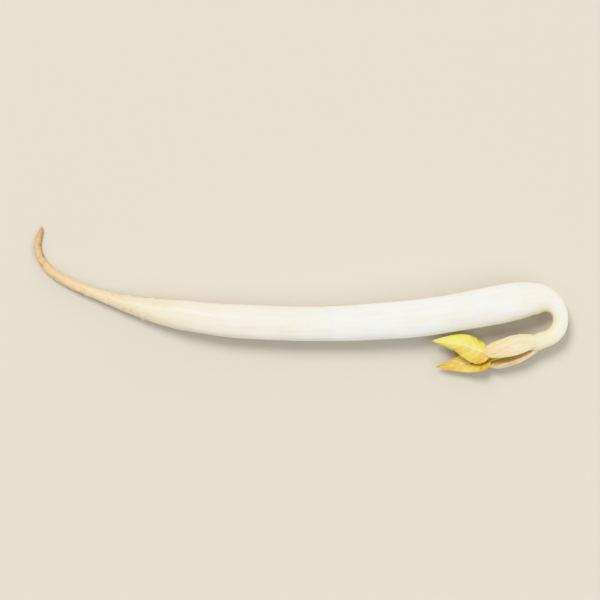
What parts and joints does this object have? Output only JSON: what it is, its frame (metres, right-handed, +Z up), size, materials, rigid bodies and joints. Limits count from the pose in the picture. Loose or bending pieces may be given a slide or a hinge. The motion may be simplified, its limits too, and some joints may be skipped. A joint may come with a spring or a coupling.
{
  "type": "mung bean sprout",
  "caption": "Mung bean sprout lying on its side: thick white stem, hooked top with seed halves and young leaves, thin curled root.",
  "frame": {"origin": "on the surface that the sprout lies on, below the middle of its outline", "axes": "+X along the stem from root to hook, +Y away from the head, which lies at the -Y side of the stem, +Z up"},
  "size_m": [0.0638, 0.0176, 0.0046],
  "materials": {
    "stem": "satin",
    "seed": "satin",
    "leaf": "satin"
  },
  "bodies": {
    "root": {"stem_and_root": "stem", "cotyledon_inner": "seed", "cotyledon_outer": "seed", "leaf_upper": "leaf", "leaf_lower": "leaf"}
  },
  "joints": []
}
